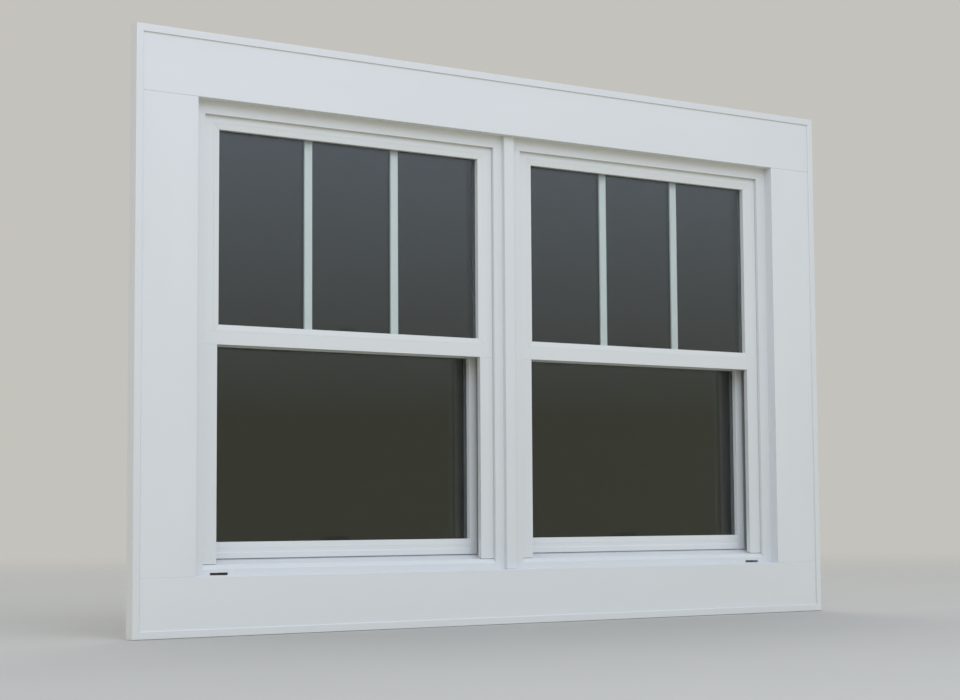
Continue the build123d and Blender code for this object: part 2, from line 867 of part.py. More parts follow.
# Balance tubes, hung by a tab in the four jamb pockets
tube_top = tube_bottom + sash_travel + rod_overlap + tube_headroom
pocket_back = track_depth + frame_wall + pocket_depth
with BuildPart() as tubes:
    for edge, out in track_edges.values():
        with BuildSketch(Plane.XY.offset(tube_bottom)):
            with Locations((edge + out * tube_x, depth(slot_b))):
                Circle(tube_diameter / 2)
                Circle(tube_bore / 2, mode=Mode.SUBTRACT)
        extrude(amount=tube_top - tube_bottom)
        with BuildSketch(Plane.XY.offset(tube_top)):
            block(
                edge + out * (pocket_back - frame_wall),
                edge + out * pocket_back,
                depth(slot_b) - tube_tab_width / 2,
                depth(slot_b) + tube_tab_width / 2,
            )
        extrude(amount=tube_tab)
save(tubes, "balance_tubes")
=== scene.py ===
"""Looks of the twin single-hung sash window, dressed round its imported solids.

Most pieces are copies of the solids with eased edges. The spacers' punched rows, the pile
weatherstrips, the locks' screws and the balances' twisted strips are made here. All sizes are in
metres, in the frame of the solids: X right seen from outside, Y into the wall, Z up.
"""

import json
import logging
import math
from dataclasses import dataclass, field
from enum import Enum

import bmesh
import bpy
from bpy.types import Material, Mesh, Node, NodeSocket, NodeTree, Object
from mathutils import Matrix, Vector


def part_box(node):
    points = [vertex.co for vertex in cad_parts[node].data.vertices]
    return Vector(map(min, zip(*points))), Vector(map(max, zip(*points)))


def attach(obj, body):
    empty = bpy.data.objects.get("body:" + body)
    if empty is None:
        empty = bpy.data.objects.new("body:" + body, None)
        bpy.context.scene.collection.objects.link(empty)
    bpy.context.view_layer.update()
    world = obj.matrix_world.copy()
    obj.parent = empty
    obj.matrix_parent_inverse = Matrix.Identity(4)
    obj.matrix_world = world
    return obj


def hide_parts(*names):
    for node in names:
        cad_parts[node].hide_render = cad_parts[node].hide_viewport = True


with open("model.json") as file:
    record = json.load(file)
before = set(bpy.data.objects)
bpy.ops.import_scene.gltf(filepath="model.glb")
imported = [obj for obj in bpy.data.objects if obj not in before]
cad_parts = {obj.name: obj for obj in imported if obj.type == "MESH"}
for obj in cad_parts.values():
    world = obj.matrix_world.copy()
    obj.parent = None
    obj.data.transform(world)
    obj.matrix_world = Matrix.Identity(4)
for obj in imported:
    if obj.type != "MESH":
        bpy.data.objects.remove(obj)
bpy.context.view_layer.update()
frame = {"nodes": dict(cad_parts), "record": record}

log = logging.getLogger("sash_window")
MM = 0.001
MIX_FROM, MIX_TO, MIXED = 6, 7, 2  # a colour mix's sockets, which share their names with its other kinds
NOISE_LOW, NOISE_HIGH = 0.3, 0.7  # nearly all of a noise lies between these


class Run(Enum):
    """The direction in which a piece was extruded, rolled or sawn."""

    ACROSS = (1, 0, 0)
    UP = (0, 0, 1)


class Size(Enum):
    """What an input of a geometry tree holds."""

    LENGTH = "NodeSocketFloat"
    COUNT = "NodeSocketInt"
    PLACE = "NodeSocketVector"
    PIECE = "NodeSocketObject"


@dataclass(frozen=True)
class Extent:
    """Where a solid lies: the two corners of its box."""

    low: Vector
    high: Vector

    @classmethod
    def of(cls, node: str) -> "Extent":
        """The extent of a node."""
        return cls(*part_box(node))

    @property
    def middle(self) -> Vector:
        """The box's middle."""
        return (self.low + self.high) / 2

    @property
    def size(self) -> Vector:
        """The box's width, depth and height."""
        return self.high - self.low


@dataclass(frozen=True)
class Ease:
    """How the edges of a piece are eased and shaded."""

    width: float
    shortest: float = 8 * MM  # shorter edges stay sharp
    segments: int = 2
    sharp: float = 50.0  # an edge that turns by more degrees is shaded sharp


def linear(colour: str) -> tuple[float, float, float, float]:
    """Turns an sRGB hex colour into Blender's linear values.

    Args:
        colour: Six hex digits after a hash.

    Returns:
        Red, green, blue and an alpha of 1.
    """
    parts = [int(colour[i : i + 2], 16) / 255 for i in (1, 3, 5)]
    red, green, blue = (p / 12.92 if p <= 0.04045 else ((p + 0.055) / 1.055) ** 2.4 for p in parts)
    return (red, green, blue, 1.0)


def add(tree: NodeTree, kind: str, inputs: dict | None = None, **settings) -> Node:
    """Adds a node with its settings, and sets or links its inputs.

    Args:
        tree: The tree that gets the node.
        kind: The node's type name.
        inputs: For each input's name or number a value, a socket, or a node whose first output is meant.
        **settings: Properties of the node itself.

    Returns:
        The new node.
    """
    node = tree.nodes.new(kind)
    for name, value in settings.items():
        setattr(node, name, value)
    for key, value in (inputs or {}).items():
        if isinstance(value, Node):
            value = value.outputs[0]
        if isinstance(value, NodeSocket):
            tree.links.new(value, node.inputs[key])
        else:
            node.inputs[key].default_value = value
    return node


def open_material(name: str) -> tuple[Material, NodeTree]:
    """Makes a material with an empty node tree.

    Args:
        name: The finish's name.

    Returns:
        The material and its tree.
    """
    material = bpy.data.materials.new(name)
    material.use_nodes = True
    material.node_tree.nodes.clear()
    return material, material.node_tree


@dataclass(frozen=True)
class Weld:
    """The mitre welds of a four-sided sash, planed flush: fine grey lines at 45 degrees in its corners."""

    extent: Extent
    core: float = 0.35 * MM
    edge: float = 1.1 * MM

    def lines(self, tree: NodeTree, place: NodeSocket) -> tuple[Node, Node]:
        """Adds the nodes that find the welds and tell stiles from rails.

        Args:
            tree: The material's tree.
            place: The object coordinates.

        Returns:
            A node that gives 1 on a weld, and a node that gives 1 on the stiles.
        """
        axes = add(tree, "ShaderNodeSeparateXYZ", {0: place})
        inward = []
        for axis in (0, 2):
            middle, half = self.extent.middle[axis], self.extent.size[axis] / 2
            off = add(tree, "ShaderNodeMath", {0: axes.outputs[axis], 1: middle}, operation="SUBTRACT")
            off = add(tree, "ShaderNodeMath", {0: off}, operation="ABSOLUTE")
            inward.append(add(tree, "ShaderNodeMath", {0: half, 1: off}, operation="SUBTRACT"))
        lead = add(tree, "ShaderNodeMath", {0: inward[0], 1: inward[1]}, operation="SUBTRACT")
        stile = add(tree, "ShaderNodeMath", {0: lead, 1: 0.0}, operation="LESS_THAN")
        away = add(tree, "ShaderNodeMath", {0: lead}, operation="ABSOLUTE")
        weld = add(
            tree,
            "ShaderNodeMapRange",
            {"Value": away, "From Min": self.core, "From Max": self.edge, "To Min": 1.0, "To Max": 0.0},
            interpolation_type="SMOOTHSTEP",
        )
        return weld, stile


@dataclass(frozen=True)
class Opaque:
    """What the opaque finishes share: two tones of one colour, an uneven sheen and a fine relief."""

    name: str
    light: str
    shade: str

    def toned(self, tree: NodeTree, tone: Node) -> NodeSocket:
        """Adds the colour that a tone from 0 to 1 gives between shade and light."""
        colours = {"Factor": tone, MIX_FROM: linear(self.shade), MIX_TO: linear(self.light)}
        return add(tree, "ShaderNodeMix", colours, data_type="RGBA").outputs[MIXED]

    @staticmethod
    def shaded(
        tree: NodeTree,
        patches: Node,
        rough: tuple[float, float],
        height: Node,
        relief: tuple[float, float],
        inputs: dict,
    ) -> None:
        """Adds the shader and the output.

        Args:
            tree: The material's tree.
            patches: The noise that the roughness follows.
            rough: The roughness at the noise's low and high end.
            height: What stands out of the face.
            relief: The relief's strength and its depth.
            inputs: The shader's other inputs.
        """
        sheen = {
            "Value": patches,
            "From Min": NOISE_LOW,
            "From Max": NOISE_HIGH,
            "To Min": rough[0],
            "To Max": rough[1],
        }
        uneven = add(tree, "ShaderNodeMapRange", sheen)
        bump = add(tree, "ShaderNodeBump", {"Height": height, "Strength": relief[0], "Distance": relief[1]})
        shader = add(tree, "ShaderNodeBsdfPrincipled", {"Roughness": uneven, "Normal": bump, **inputs})
        add(tree, "ShaderNodeOutputMaterial", {"Surface": shader})


@dataclass(frozen=True)
class ExtrudedVinyl(Opaque):
    """Rigid PVC, extruded through a polished die and left as it came.

    It has a soft satin sheen, very faint lines along the run, and a slight cloudiness. A little
    dust lies on its level faces.
    """

    run: Run = Run.UP
    weld: Weld | None = None
    roughness: float = 0.42
    line_pitch: float = 5 * MM  # the die lines are finer; 5 mm is the least that shows here
    line_length: float = 900 * MM
    lined: float = 0.22  # the lines' share in the tone
    cloud: float = 260 * MM
    clouded: float = 0.7  # the clouds' share in the tone
    relief: float = 0.06 * MM
    grit: float = 22 * MM  # the patches in which dust lies, as its grains are too fine to show
    film: float = 0.2  # what the dust hides where it lies thickest
    dust: str = "#BDBCB4"
    seam: str = "#8E8F8C"
    greyed: float = 0.05  # how much of the seam's grey shows
    groove: float = 1.2  # the seam's depth, in heights of a die line

    def streaks(self, tree: NodeTree, place: NodeSocket, run: Run) -> Node:
        """Adds lines that follow the run.

        Args:
            tree: The material's tree.
            place: The object coordinates.
            run: The direction of the lines.

        Returns:
            The node of the lines' height, from 0 to 1.
        """
        scale = [1 / (self.line_length if axis else self.line_pitch) for axis in run.value]
        drawn = add(tree, "ShaderNodeMapping", {"Vector": place, "Scale": scale})
        inputs = {"Vector": drawn, "Scale": 1.0, "Detail": 3.0, "Roughness": 0.6}
        return add(tree, "ShaderNodeTexNoise", inputs)

    def dusted(self, tree: NodeTree, place: NodeSocket, colour: NodeSocket) -> NodeSocket:
        """Adds a thin film of dust on the faces that look up.

        Args:
            tree: The material's tree.
            place: The object coordinates.
            colour: The clean vinyl's colour.

        Returns:
            The colour with its dust.
        """
        facing = add(tree, "ShaderNodeNewGeometry").outputs["Normal"]
        facing = add(tree, "ShaderNodeSeparateXYZ", {0: facing})
        level = add(
            tree,
            "ShaderNodeMapRange",
            {"Value": facing.outputs["Z"], "From Min": 0.35, "From Max": 0.95},
            interpolation_type="SMOOTHSTEP",
        )
        inputs = {"Vector": place, "Scale": 1 / self.grit, "Detail": 6.0, "Roughness": 0.7}
        grit = add(tree, "ShaderNodeTexNoise", inputs)
        grit = add(tree, "ShaderNodeMapRange", {"Value": grit, "From Min": 0.42, "From Max": 0.75})
        film = add(tree, "ShaderNodeMath", {0: level, 1: grit}, operation="MULTIPLY")
        film = add(tree, "ShaderNodeMath", {0: film, 1: self.film}, operation="MULTIPLY")
        colours = {"Factor": film, MIX_FROM: colour, MIX_TO: linear(self.dust)}
        return add(tree, "ShaderNodeMix", colours, data_type="RGBA").outputs[MIXED]

    def material(self) -> Material:
        """Builds the finish."""
        material, tree = open_material(self.name)
        place = add(tree, "ShaderNodeTexCoord").outputs["Object"]
        lines = self.streaks(tree, place, self.run)
        if self.weld:
            weld, stile = self.weld.lines(tree, place)
            rails = self.streaks(tree, place, Run.ACROSS)
            lines = add(tree, "ShaderNodeMix", {"Factor": stile, "A": rails, "B": lines}, data_type="FLOAT")
        inputs = {"Vector": place, "Scale": 1 / self.cloud, "Detail": 4.0, "Roughness": 0.55}
        cloud = add(tree, "ShaderNodeTexNoise", inputs)
        tone = add(tree, "ShaderNodeMath", {0: lines, 1: self.lined, 2: 0.18}, operation="MULTIPLY_ADD")
        tone = add(tree, "ShaderNodeMath", {0: cloud, 1: self.clouded, 2: tone}, operation="MULTIPLY_ADD")
        colour = self.dusted(tree, place, self.toned(tree, tone))
        height = lines
        if self.weld:
            seam = add(tree, "ShaderNodeMath", {0: weld, 1: self.greyed}, operation="MULTIPLY")
            colours = {"Factor": seam, MIX_FROM: colour, MIX_TO: linear(self.seam)}
            colour = add(tree, "ShaderNodeMix", colours, data_type="RGBA").outputs[MIXED]
            sunk = {0: weld, 1: -self.groove, 2: lines}
            height = add(tree, "ShaderNodeMath", sunk, operation="MULTIPLY_ADD")
        rough = (self.roughness - 0.05, self.roughness + 0.06)
        inputs = {"Base Color": colour, "IOR": 1.53}
        self.shaded(tree, cloud, rough, height, (0.35, self.relief), inputs)
        return material


@dataclass(frozen=True)
class PaintedBoard(Opaque):
    """Cellular PVC board, rolled with satin paint.

    The roller leaves a soft stipple, and the board's face is not quite flat.
    """

    run: Run = Run.ACROSS
    stipple: float = 3 * MM  # twice as coarse as a roller's, so that it shows
    swell: float = 90 * MM  # across the board; it is drawn out along it
    drawn_out: float = 0.22
    swell_height: float = 6.0  # in heights of the stipple
    relief: float = 0.05 * MM
    roughness: float = 0.5

    def material(self) -> Material:
        """Builds the finish."""
        material, tree = open_material(self.name)
        place = add(tree, "ShaderNodeTexCoord").outputs["Object"]
        inputs = {"Vector": place, "Scale": 1 / self.stipple, "Detail": 3.0}
        stipple = add(tree, "ShaderNodeTexNoise", inputs)
        stretch = [self.drawn_out if axis else 1.0 for axis in self.run.value]
        drawn = add(tree, "ShaderNodeMapping", {"Vector": place, "Scale": stretch})
        swell = add(tree, "ShaderNodeTexNoise", {"Vector": drawn, "Scale": 1 / self.swell, "Detail": 3.0})
        tone = add(tree, "ShaderNodeMath", {0: stipple, 1: 0.25, 2: -0.1}, operation="MULTIPLY_ADD")
        tone = add(tree, "ShaderNodeMath", {0: swell, 1: 0.95, 2: tone}, operation="MULTIPLY_ADD")
        uneven = {0: swell, 1: self.swell_height, 2: stipple}
        height = add(tree, "ShaderNodeMath", uneven, operation="MULTIPLY_ADD")
        rough = (self.roughness - 0.06, self.roughness + 0.06)
        inputs = {"Base Color": self.toned(tree, tone), "IOR": 1.5}
        self.shaded(tree, stipple, rough, height, (0.4, self.relief), inputs)
        return material


@dataclass(frozen=True)
class Moulding(Opaque):
    """A moulded, cast, rolled or woven finish: a fine grain in tone, roughness and height.

    metallic is 1 for bare metal, which keeps the shader's own IOR. coat adds the clear skin of
    enamel. With a run, the grain is drawn out along it.
    """

    grain: float
    roughness: float
    spread: float = 0.06
    relief: float = 0.03 * MM
    metallic: float = 0.0
    coat: float = 0.0
    run: Run | None = None
    drawn_out: float = 0.04

    def material(self) -> Material:
        """Builds the finish."""
        material, tree = open_material(self.name)
        place = add(tree, "ShaderNodeTexCoord").outputs["Object"]
        if self.run:
            stretch = [self.drawn_out if axis else 1.0 for axis in self.run.value]
            place = add(tree, "ShaderNodeMapping", {"Vector": place, "Scale": stretch})
        inputs = {"Vector": place, "Scale": 1 / self.grain, "Detail": 4.0, "Roughness": 0.6}
        grain = add(tree, "ShaderNodeTexNoise", inputs)
        inputs = {"Value": grain, "From Min": NOISE_LOW, "From Max": NOISE_HIGH}
        tone = add(tree, "ShaderNodeMapRange", inputs)
        inputs = {"Base Color": self.toned(tree, tone), "Metallic": self.metallic, "Coat Weight": self.coat}
        if not self.metallic:
            inputs["IOR"] = 1.5
        rough = (self.roughness - self.spread, self.roughness + self.spread)
        self.shaded(tree, grain, rough, grain, (0.4, self.relief), inputs)
        return material


@dataclass(frozen=True)
class FloatGlass:
    """Float glass, flat and clear, with a tint in its body, a faint smear and the float line's waves.

    Lamps reach what stands behind it, so the bars between the panes are lit as they really are. A dark body
    tint is painted shade: it stands in for the dark room behind the window.
    """

    name: str
    tint: str
    passes: str
    film: float = 0.012  # the roughness where a smear is thickest
    smear: float = 140 * MM
    wave: float = 330 * MM
    ripple: float = 0.25 * MM

    def material(self) -> Material:
        """Builds the finish."""
        material, tree = open_material(self.name)
        place = add(tree, "ShaderNodeTexCoord").outputs["Object"]
        inputs = {"Vector": place, "Scale": 1 / self.smear, "Detail": 5.0, "Roughness": 0.65}
        smear = add(tree, "ShaderNodeTexNoise", inputs)
        inputs = {"Value": smear, "From Min": 0.35, "From Max": 0.75, "To Max": self.film}
        rough = add(tree, "ShaderNodeMapRange", inputs)
        wave = add(tree, "ShaderNodeTexNoise", {"Vector": place, "Scale": 1 / self.wave, "Detail": 1.0})
        bump = add(tree, "ShaderNodeBump", {"Height": wave, "Strength": 0.5, "Distance": self.ripple})
        inputs = {"Base Color": linear(self.tint), "Roughness": rough, "IOR": 1.52, "Normal": bump}
        glass = add(tree, "ShaderNodeBsdfPrincipled", inputs | {"Transmission Weight": 1.0})
        clear = add(tree, "ShaderNodeBsdfTransparent", {"Color": linear(self.passes)})
        ray = add(tree, "ShaderNodeLightPath")
        shown = add(tree, "ShaderNodeMixShader", {0: ray.outputs["Is Shadow Ray"], 1: glass, 2: clear})
        add(tree, "ShaderNodeOutputMaterial", {"Surface": shown})
        return material


def put(name: str, data: bpy.types.ID) -> Object:
    """Puts a mesh, a camera or a lamp into the scene, as an object at the origin."""
    made = bpy.data.objects.new(name, data)
    bpy.context.scene.collection.objects.link(made)
    return made


def finished(shape: bmesh.types.BMesh, name: str) -> Mesh:
    """Turns a worked shape into a mesh, and frees the shape."""
    mesh = bpy.data.meshes.new(name)
    shape.to_mesh(mesh)
    shape.free()
    return mesh


def joined(meshes: list[Mesh], name: str) -> Mesh:
    """Joins meshes into a new one, and removes them."""
    shape = bmesh.new()
    for mesh in meshes:
        shape.from_mesh(mesh)
        bpy.data.meshes.remove(mesh)
    return finished(shape, name)


def smooth(mesh: Mesh, sharp: float) -> None:
    """Shades a mesh smooth, but for the edges that turn by more than the given degrees."""
    for face in mesh.polygons:
        face.use_smooth = True
    mesh.set_sharp_from_angle(angle=math.radians(sharp))


def copied(holder: Object, normals: bool = False) -> Mesh:
    """Copies what an object's modifiers make of its mesh, and removes both.

    Args:
        holder: An object with its modifiers.
        normals: True to copy the normals that they set, too.

    Returns:
        The plain mesh.
    """
    graph = bpy.context.evaluated_depsgraph_get()
    mesh = bpy.data.meshes.new_from_object(
        holder.evaluated_get(graph), preserve_all_data_layers=normals, depsgraph=graph
    )
    base = holder.data
    holder.modifiers.clear()
    bpy.data.objects.remove(holder)
    bpy.data.meshes.remove(base)
    return mesh


@dataclass
class Bench:
    """Where pieces are copied from the solids, eased, dressed and put on their bodies."""

    bodies: dict[str, str] = field(default_factory=dict)
    slots: dict[str, str] = field(default_factory=dict)
    made: int = 0
    merged: float = 0.002 * MM
    speck: float = 0.001 * MM
    flat_within: float = 0.4  # faces that turn by fewer degrees are one face
    eased_from: float = 25.0  # an outer edge that turns by more degrees is eased

    def __post_init__(self) -> None:
        """Reads each node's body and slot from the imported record."""
        record = frame["record"]
        for body, nodes in record["behaviour"]["bodies"].items():
            self.bodies.update(dict.fromkeys(nodes, body))
        self.slots.update((row["node"], row["material_slot"]) for row in record["subparts"])

    def keep(self, node: str, material: Material) -> None:
        """Gives a solid that stays as it is a better finish."""
        for held in frame["nodes"][node].material_slots:
            held.material = material
        log.info("kept %s", node)

    def piece(
        self, name: str, mesh: Mesh, like: str, material: Material | None = None, instead: bool = True
    ) -> None:
        """Makes an object of a mesh and puts it on the body of a node.

        Args:
            name: The piece's name.
            mesh: Its mesh, in place.
            like: The node whose body it takes.
            material: Its finish, or None if the mesh has one.
            instead: True if it stands for that node.
        """
        mesh.name = name
        if material:
            mesh.materials.clear()
            mesh.materials.append(material)
        made = put(name, mesh)
        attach(made, self.bodies[like])
        if instead:
            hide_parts(like)
        self.made += 1
        log.info("%s: %d faces, on %s", name, len(mesh.polygons), self.bodies[like])

    def eased(self, node: str, name: str, material: Material, ease: Ease, part: int | None = None) -> None:
        """Puts a copy of a solid with eased edges in the solid's place.

        Args:
            node: The solid's node.
            name: The new piece's name.
            material: Its finish.
            ease: How its edges are eased.
            part: Which loose part to take, counted from the outside inwards, or None for all.
        """
        shape = bmesh.new()
        shape.from_mesh(frame["nodes"][node].data)
        bmesh.ops.remove_doubles(shape, verts=shape.verts, dist=self.merged)
        bmesh.ops.dissolve_degenerate(shape, edges=shape.edges, dist=self.speck)
        if part is not None:
            self.take_part(shape, part)
        bmesh.ops.dissolve_limit(
            shape,
            angle_limit=math.radians(self.flat_within),
            verts=shape.verts,
            edges=shape.edges,
            delimit={"NORMAL"},
        )
        least = math.radians(self.eased_from)
        long_ones = [e for e in shape.edges if len(e.link_faces) == 2 and e.calc_length() > ease.shortest]
        bmesh.ops.bevel(
            shape,
            geom=[e for e in long_ones if e.calc_face_angle_signed(0) > least],
            offset=ease.width,
            offset_type="OFFSET",
            segments=ease.segments,
            profile=0.5,
            affect="EDGES",
            clamp_overlap=True,
        )
        mesh = finished(shape, name)
        smooth(mesh, ease.sharp)
        self.piece(name, self.flat_faced(mesh), node, material)

    @staticmethod
    def flat_faced(mesh: Mesh) -> Mesh:
        """Weighs a mesh's normals by area, so that wide faces stay flat and only the easings look round."""
        holder = put("holder", mesh)
        weighed = holder.modifiers.new("weigh", "WEIGHTED_NORMAL")
        weighed.mode, weighed.keep_sharp = "FACE_AREA", True
        return copied(holder, normals=True)

    @staticmethod
    def take_part(shape: bmesh.types.BMesh, part: int) -> None:
        """Leaves one loose part of a shape, counted from the outside inwards."""
        left, parts = set(shape.verts), []
        while left:
            group, todo = set(), [left.pop()]
            while todo:
                vert = todo.pop()
                group.add(vert)
                found = {edge.other_vert(vert) for edge in vert.link_edges} & left
                left -= found
                todo.extend(found)
            parts.append(group)
        parts.sort(key=lambda group: sum(vert.co.y for vert in group) / len(group))
        gone = [vert for i, group in enumerate(parts) if i != part for vert in group]
        bmesh.ops.delete(shape, geom=gone, context="VERTS")


def grown(tree: NodeTree, **values) -> Mesh:
    """Runs a geometry tree once and returns its result as a plain mesh.

    Args:
        tree: A geometry tree with named inputs.
        **values: The value of each input.

    Returns:
        The mesh.
    """
    holder = put("holder", bpy.data.meshes.new("holder"))
    modifier = holder.modifiers.new("grow", "NODES")
    modifier.node_group = tree
    for item in tree.interface.items_tree:
        if item.name in values:
            modifier[item.identifier] = values[item.name]
    holder.update_tag()
    return copied(holder)


def new_tree(name: str, **sizes: Size) -> tuple[NodeTree, dict[str, NodeSocket]]:
    """Starts a geometry tree, which also gets an input for its finish.

    Args:
        name: The tree's name.
        **sizes: What each named input holds.

    Returns:
        The tree, and the socket of each named input.
    """
    tree = bpy.data.node_groups.new(name, "GeometryNodeTree")
    kinds = {"Geometry": "NodeSocketGeometry"} | {size: kind.value for size, kind in sizes.items()}
    kinds["Finish"] = "NodeSocketMaterial"
    for size, kind in kinds.items():
        tree.interface.new_socket(size, in_out="INPUT", socket_type=kind)
    tree.interface.new_socket("Geometry", in_out="OUTPUT", socket_type="NodeSocketGeometry")
    given = add(tree, "NodeGroupInput")
    return tree, {size: given.outputs[size] for size in kinds}


def end_tree(tree: NodeTree, shape: Node, given: dict[str, NodeSocket]) -> NodeTree:
    """Ends a tree in plain faces with their finish, and returns it."""
    solid = add(tree, "GeometryNodeRealizeInstances", {"Geometry": shape})
    dressed = add(tree, "GeometryNodeSetMaterial", {"Geometry": solid, "Material": given["Finish"]})
    add(tree, "NodeGroupOutput", {0: dressed})
    return tree


def stand_up(tree: NodeTree, parts: list[Node], given: dict[str, NodeSocket]) -> NodeTree:
    """Ends a tree whose parts were laid out flat: joins them and stands them upright at their centre."""
    both = add(tree, "GeometryNodeJoinGeometry")
    for part in parts:
        tree.links.new(part.outputs[0], both.inputs[0])
    upright = {"Geometry": both, "Translation": given["Centre"], "Rotation": (math.pi / 2, 0, 0)}
    return end_tree(tree, add(tree, "GeometryNodeTransform", upright), given)


def punched_rows_tree() -> NodeTree:
    """Two rows of punched holes round the inside of a spacer."""
    lengths = dict.fromkeys(("Width", "Height", "Pitch", "Gap", "Hole"), Size.LENGTH)
    tree, given = new_tree("punched_rows", **lengths, Centre=Size.PLACE)
    size = {"Width": given["Width"], "Height": given["Height"]}
    path = add(tree, "GeometryNodeCurvePrimitiveQuadrilateral", size)
    spaced = {"Curve": path, "Length": given["Pitch"]}
    points = add(tree, "GeometryNodeResampleCurve", spaced, mode="LENGTH")
    tangent = add(tree, "GeometryNodeInputTangent")
    inward = add(tree, "ShaderNodeVectorMath", {0: tangent, 1: (0, 0, 1)}, operation="CROSS_PRODUCT")
    turn = add(tree, "FunctionNodeAlignRotationToVector", {"Vector": inward}, axis="Z")
    disc = {"Vertices": 8, "Radius": given["Hole"], "Depth": 0.1 * MM}
    hole = add(tree, "GeometryNodeMeshCylinder", disc)
    rows = []
    for side in (-0.5, 0.5):
        lift = add(tree, "ShaderNodeMath", {0: given["Gap"], 1: side}, operation="MULTIPLY")
        offset = add(tree, "ShaderNodeCombineXYZ", {"Z": lift})
        moved = add(tree, "GeometryNodeSetPosition", {"Geometry": points, "Offset": offset})
        inputs = {"Points": moved, "Instance": hole, "Rotation": turn}
        rows.append(add(tree, "GeometryNodeInstanceOnPoints", inputs))
    return stand_up(tree, rows, given)


def twisted_strip_tree() -> NodeTree:
    """A flat strip with rounded edges, twisted about its own length."""
    lengths = dict.fromkeys(("Lead", "Width", "Thickness", "Step", "Round"), Size.LENGTH)
    tree, given = new_tree("twisted_strip", Start=Size.PLACE, End=Size.PLACE, **lengths)
    line = add(tree, "GeometryNodeCurvePrimitiveLine", {"Start": given["Start"], "End": given["End"]})
    path = add(tree, "GeometryNodeResampleCurve", {"Curve": line, "Length": given["Step"]}, mode="LENGTH")
    along = add(tree, "GeometryNodeSplineParameter").outputs["Length"]
    turns = add(tree, "ShaderNodeMath", {0: along, 1: given["Lead"]}, operation="DIVIDE")
    angle = add(tree, "ShaderNodeMath", {0: turns, 1: 2 * math.pi}, operation="MULTIPLY")
    tilted = add(tree, "GeometryNodeSetCurveTilt", {"Curve": path, "Tilt": angle})
    size = {"Width": given["Width"], "Height": given["Thickness"]}
    section = add(tree, "GeometryNodeCurvePrimitiveQuadrilateral", size)
    corners = {"Curve": section, "Count": 3, "Radius": given["Round"]}
    rounded = add(tree, "GeometryNodeFilletCurve", corners, mode="POLY")
    sweep = {"Curve": tilted, "Profile Curve": rounded, "Fill Caps": True}
    strip = add(tree, "GeometryNodeCurveToMesh", sweep)
    return end_tree(tree, strip, given)


def pile_tree() -> NodeTree:
    """Tufts of pile on a flat backing strip, which stands upright and faces outdoors."""
    lengths = dict.fromkeys(("Width", "Height", "Backing", "Tuft", "Thickness", "Stray"), Size.LENGTH)
    tree, given = new_tree("pile", **lengths, Across=Size.COUNT, Along=Size.COUNT, Centre=Size.PLACE)
    size = {"Size X": given["Width"], "Size Y": given["Height"]}
    count = {"Vertices X": given["Across"], "Vertices Y": given["Along"]}
    ground = add(tree, "GeometryNodeMeshGrid", size | count)
    back = add(tree, "ShaderNodeMath", {0: given["Stray"], 1: -1.0}, operation="MULTIPLY")
    least = add(tree, "ShaderNodeCombineXYZ", {"X": back, "Y": back})
    most = add(tree, "ShaderNodeCombineXYZ", {"X": given["Stray"], "Y": given["Stray"]})
    span = {0: least, 1: most, "Seed": 11}
    astray = add(tree, "FunctionNodeRandomValue", span, data_type="FLOAT_VECTOR")
    points = add(tree, "GeometryNodeSetPosition", {"Geometry": ground, "Offset": astray})
    cone = {"Vertices": 3, "Radius Top": 0.15 * MM, "Radius Bottom": given["Thickness"]}
    tuft = add(tree, "GeometryNodeMeshCone", cone | {"Depth": given["Tuft"]})
    span = {0: (-0.16, -0.16, 0), 1: (0.16, 0.16, 6.28), "Seed": 5}
    lean = add(tree, "FunctionNodeRandomValue", span, data_type="FLOAT_VECTOR")
    stood = {"Points": points, "Instance": tuft, "Rotation": lean}
    tufts = add(tree, "GeometryNodeInstanceOnPoints", stood)
    size = {"X": given["Width"], "Y": given["Height"], "Z": given["Backing"]}
    thick = add(tree, "ShaderNodeCombineXYZ", size)
    backing = add(tree, "GeometryNodeMeshCube", {"Size": thick})
    return stand_up(tree, [tufts, backing], given)


def screws_tree() -> NodeTree:
    """Cross-slot screw heads on the points of a line, each turned by chance."""
    tree, given = new_tree("screws", Start=Size.PLACE, End=Size.PLACE, Count=Size.COUNT, Head=Size.PIECE)
    line = add(tree, "GeometryNodeCurvePrimitiveLine", {"Start": given["Start"], "End": given["End"]})
    points = add(tree, "GeometryNodeCurveToPoints", {"Curve": line, "Count": given["Count"]}, mode="COUNT")
    head = add(tree, "GeometryNodeObjectInfo", {"Object": given["Head"]}).outputs["Geometry"]
    spin = add(tree, "FunctionNodeRandomValue", {2: 0.0, 3: 6.28, "Seed": 7}, data_type="FLOAT").outputs[1]
    about = add(tree, "ShaderNodeCombineXYZ", {"Z": spin})
    turn = add(tree, "FunctionNodeEulerToRotation", {0: about})
    inputs = {"Points": points, "Instance": head, "Rotation": turn}
    return end_tree(tree, add(tree, "GeometryNodeInstanceOnPoints", inputs), given)


